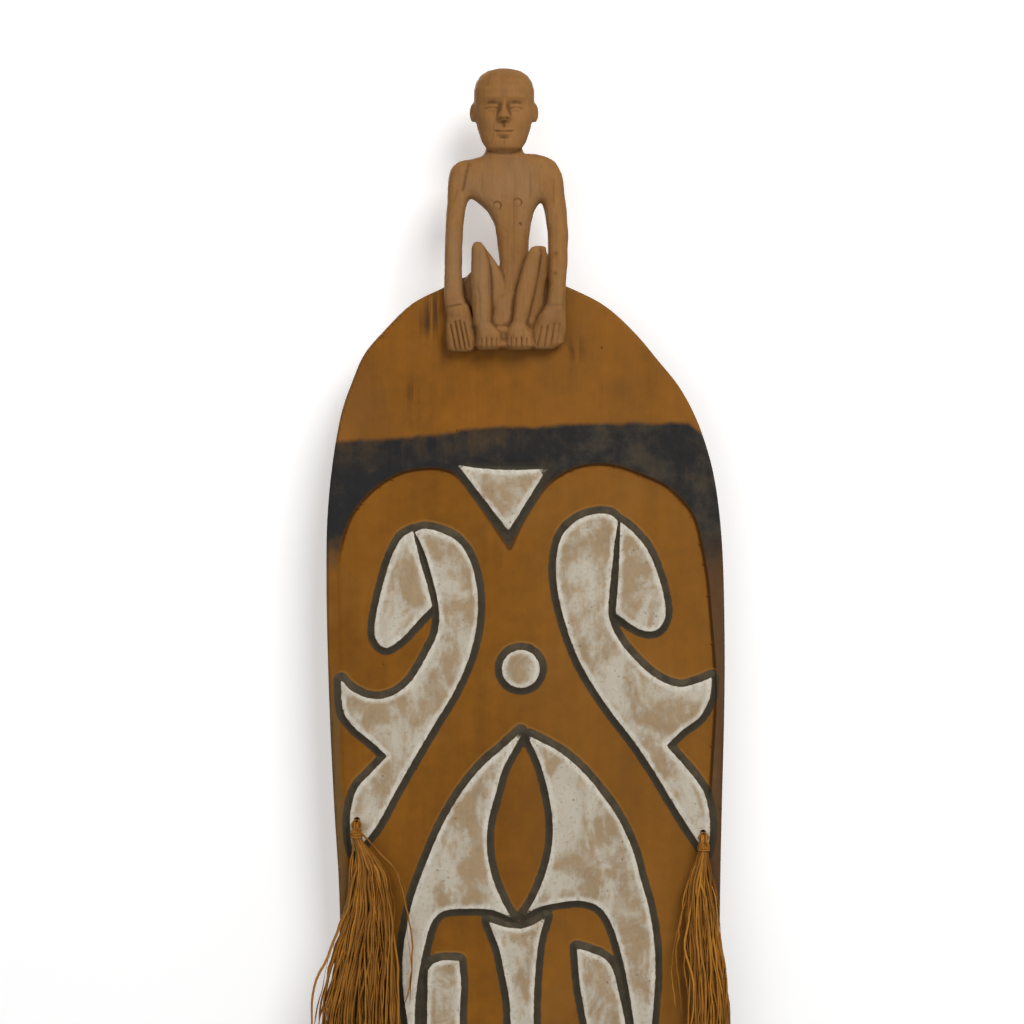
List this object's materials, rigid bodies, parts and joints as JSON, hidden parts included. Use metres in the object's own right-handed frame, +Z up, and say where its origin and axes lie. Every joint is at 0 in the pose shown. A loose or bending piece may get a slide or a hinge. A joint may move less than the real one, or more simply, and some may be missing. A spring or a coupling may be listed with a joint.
{
  "type": "carved shield",
  "caption": "Tall carved and painted wooden shield with a grip carved on its back, a squatting finial figure and two free-hanging fibre tassels.",
  "frame": {"origin": "middle of the flat rear face of the grip carved on the shield's back", "axes": "+Z up along the plank to the finial figure, +Y out of the back towards the bearer, +X to the right of a viewer who faces the carved front"},
  "size_m": [0.419, 0.103, 1.632],
  "materials": {
    "painted_plank": "hand-carved plank in matt ochre, white and black earth paints, worn",
    "bare_carved_wood": "bare knife-carved wood, smooth with age",
    "peg_wood": "whittled hardwood",
    "tie_cord": "twisted plant fibre cord",
    "tassel_fibre": "dry split leaf fibre, flat golden brown strands"
  },
  "bodies": {
    "shield": {"board_with_carved_grip": "painted_plank", "finial_figure": "bare_carved_wood", "left_figure_peg": "peg_wood", "right_figure_peg": "peg_wood", "middle_figure_peg": "peg_wood"},
    "left_tie": {"left_tie_cord": "tie_cord"},
    "left_tassel": {"left_tassel_binding": "tie_cord", "left_tassel_fibres": "tassel_fibre"},
    "right_tie": {"right_tie_cord": "tie_cord"},
    "right_tassel": {"right_tassel_binding": "tie_cord", "right_tassel_fibres": "tassel_fibre"}
  },
  "joints": [
    {"name": "left_tassel_swing", "type": "hinge", "parent": "shield", "child": "left_tie", "pos_m": [-0.16517, -0.069, 0.17984], "axis": [0, 1, 0], "range_deg": [-22, 45]},
    {"name": "left_tassel_lift", "type": "hinge", "parent": "left_tie", "child": "left_tassel", "pos_m": [-0.16517, -0.0768, 0.17334], "axis": [-1, 0, 0], "range_deg": [0, 90]},
    {"name": "right_tassel_swing", "type": "hinge", "parent": "shield", "child": "right_tie", "pos_m": [0.18109, -0.069, 0.16714], "axis": [0, -1, 0], "range_deg": [-22, 45]},
    {"name": "right_tassel_lift", "type": "hinge", "parent": "right_tie", "child": "right_tassel", "pos_m": [0.18109, -0.0768, 0.16064], "axis": [-1, 0, 0], "range_deg": [0, 90]}
  ]
}
